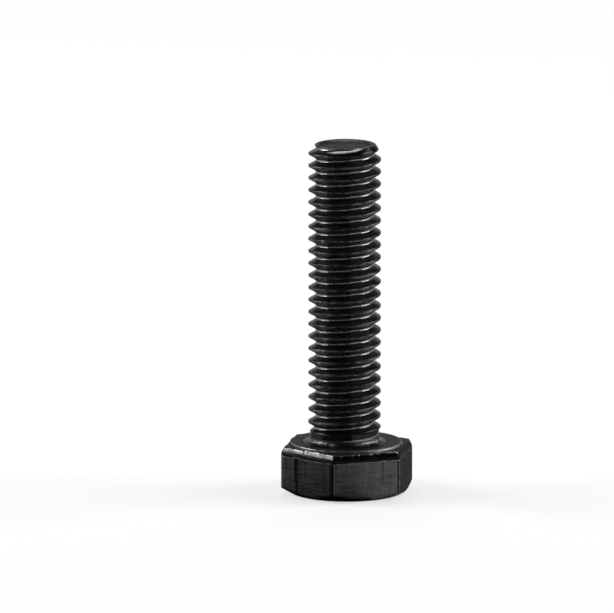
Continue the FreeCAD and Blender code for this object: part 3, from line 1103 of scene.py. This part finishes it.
# %% [markdown]
# ## The room
# Dark polished things are lit by what they mirror. A pale backdrop goes up only a little way and
# fades out, and the room above it stays dim, so that the steel stays black. The backdrop stands
# behind, so the light part of the room reaches higher there than in front.

# %% Room
WALL_LEAN = 0.12
WALL_TOP = (math.sin(math.radians(10)), math.sin(math.radians(20)))
CEILING = 0.02
world = bpy.data.worlds.new("room")
bpy.context.scene.world = world
world.use_nodes = True
tree = world.node_tree
tree.nodes.clear()
place = add_node(tree, "ShaderNodeTexCoord")
behind = -direction(0, 0)
wall = add_node(
    tree,
    "ShaderNodeVectorMath",
    {1: Vector((0, 0, 1)) - WALL_LEAN * behind},
    {0: place.outputs["Generated"]},
    operation="DOT_PRODUCT",
).outputs["Value"]
dim = add_node(
    tree,
    "ShaderNodeMapRange",
    {"From Min": WALL_TOP[0], "From Max": WALL_TOP[1], "To Min": 1.0, "To Max": CEILING},
    {"Value": wall},
)
room = add_node(
    tree, "ShaderNodeBackground", {"Color": linear("#ffffff")}, {"Strength": dim.outputs["Result"]}
)
add_node(tree, "ShaderNodeOutputWorld", links={"Surface": room.outputs["Background"]})
tilt = math.degrees(math.atan(WALL_LEAN))
fades = [math.degrees(math.asin(top / math.hypot(1, WALL_LEAN))) for top in WALL_TOP]
print("behind, the backdrop fades between", [round(fade + tilt, 1) for fade in fades], "degrees up")
print("in front, it fades between", [round(fade - tilt, 1) for fade in fades], "degrees up")

# %% [markdown]
# ## The lamps
# Two soft boxes stand to the left and right, and each draws a narrow light along one side of the
# thread. A third one hangs above and behind, and lights the flank at the tip. Their power is set so
# that a matt floor which doesn't glow looks about as it is written.

# %% Lamps
def soft_box(name, turn, rise, distance, width, height, watts):
    """A soft box at this many metres from the middle of the shank, aimed at it."""
    lamp = bpy.data.objects.new(name, bpy.data.lights.new(name, "AREA"))
    lamp.data.shape = "RECTANGLE"
    lamp.data.size, lamp.data.size_y = width, height
    lamp.data.energy = watts
    middle = Vector((0, 0, SHANK_LENGTH * MM / 2))
    aimed_at(lamp, middle + direction(turn, rise) * distance, middle)
    bpy.context.collection.objects.link(lamp)
    print(name, watts, "W")


soft_box("left_box", turn=-101, rise=31, distance=0.5, width=0.33, height=0.18, watts=1.85)
soft_box("right_box", turn=96, rise=31, distance=0.5, width=0.33, height=0.18, watts=1.85)
soft_box("top_box", turn=183, rise=63, distance=0.6, width=0.33, height=0.25, watts=1.05)

# %% [markdown]
# ## The black card
# Polished steel that stands on a pale floor mirrors it and looks grey. A black card on the floor in
# front keeps the bolt's front black. The camera doesn't see the card, and it casts no shadow: only
# the steel mirrors it.

# %% Black card
CARD_FROM, CARD_TO = -75, 26
CARD_REACH = 0.2
CARD_LIFT = 0.1 * MM
card_mesh = bpy.data.meshes.new("black_card")
spots = [direction(turn, 0) * CARD_REACH for turn in range(CARD_FROM, CARD_TO + 1)]
card_level = Vector((0, 0, LOW[2] + CARD_LIFT))
spots = [spot + card_level for spot in [Vector((0, 0, 0)), *spots]]
card_mesh.from_pydata(spots, [], [tuple(range(len(spots)))])
card = bpy.data.objects.new("black_card", card_mesh)
bpy.context.collection.objects.link(card)
card.visible_camera = card.visible_shadow = card.visible_diffuse = False
black = bpy.data.materials.new("black_velvet")
black.use_nodes = True
black.node_tree.nodes.clear()
velvet = add_node(black.node_tree, "ShaderNodeBsdfDiffuse", {"Color": linear("#1c1c1c")})
add_node(black.node_tree, "ShaderNodeOutputMaterial", links={"Surface": velvet.outputs["BSDF"]})
card_mesh.materials.append(black)
print("card from", CARD_FROM, "to", CARD_TO, "degrees,", CARD_REACH, "m long")

# %% [markdown]
# ## The picture
# The plain view transform shows each colour as it is written.

# %% View
bpy.context.scene.view_settings.view_transform = "Standard"
